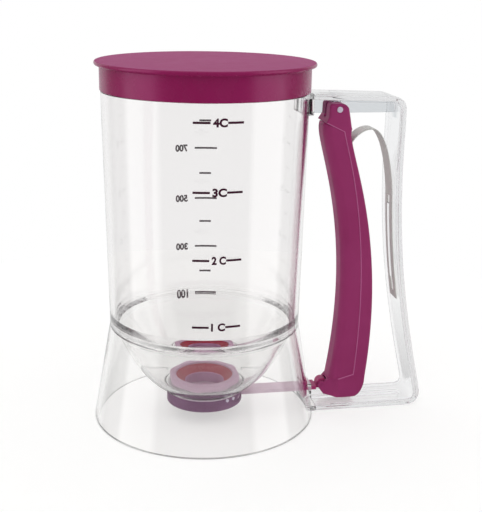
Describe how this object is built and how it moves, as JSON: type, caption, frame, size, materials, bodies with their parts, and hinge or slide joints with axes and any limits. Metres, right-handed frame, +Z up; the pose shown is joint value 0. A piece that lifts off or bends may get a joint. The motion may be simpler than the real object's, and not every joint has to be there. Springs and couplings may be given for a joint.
{
  "type": "pancake batter dispenser",
  "caption": "Clear batter jug with a bowl-shaped floor, sliding gate outlet, squeeze trigger in its loop handle, and press-on lid.",
  "frame": {"origin": "on the jug's axis, in the plane of the skirt's foot that the dispenser stands on", "axes": "+Z up along the jug's axis, +X towards the handle, +Y across the handle"},
  "size_m": [0.1782, 0.1182, 0.1884],
  "materials": {
    "clear_plastic": "clear, polished",
    "lid_plastic": "satin",
    "trigger_plastic": "satin",
    "rod_plastic": "satin",
    "valve_plastic": "satin",
    "nut_plastic": "satin",
    "seal_rubber": "soft silicone",
    "gasket_rubber": "soft silicone",
    "pin_steel": "bright",
    "spring_steel": "brushed"
  },
  "bodies": {
    "frame": {"jug_wall": "clear_plastic", "bowl_funnel": "clear_plastic", "base_skirt": "clear_plastic", "handle_frame": "clear_plastic", "outlet_nut": "nut_plastic", "outlet_seal": "seal_rubber", "valve_seat": "valve_plastic", "gate_housing": "valve_plastic", "housing_gasket": "gasket_rubber", "housing_pins": "pin_steel"},
    "lid": {"lid": "lid_plastic"},
    "trigger": {"trigger_lever": "trigger_plastic", "grip_cover": "trigger_plastic", "link_pin": "trigger_plastic", "pivot_pin": "pin_steel", "pivot_washer": "pin_steel", "leaf_spring": "spring_steel"},
    "gate": {"gate_blade": "nut_plastic", "blade_rivets": "pin_steel", "pull_rod": "rod_plastic"}
  },
  "joints": [
    {"name": "lid_lift", "type": "slide", "parent": "frame", "child": "lid", "axis": [0, 0, 1], "range_m": [0, 0.06]},
    {"name": "trigger_squeeze", "type": "hinge", "parent": "frame", "child": "trigger", "pos_m": [0.0674, 0, 0.1645], "axis": [0, -1, 0], "range_deg": [0, 7.5], "stiffness_Nm_per_rad": 6, "springref_deg": -2.86, "deforming": ["leaf_spring"]},
    {"name": "gate_slide", "type": "slide", "parent": "frame", "child": "gate", "axis": [1, 0, 0], "range_m": [0, 0.02]}
  ],
  "couplings": [
    {"joint": "gate_slide", "follows": "trigger_squeeze", "m_per_rad": 0.15254}
  ]
}
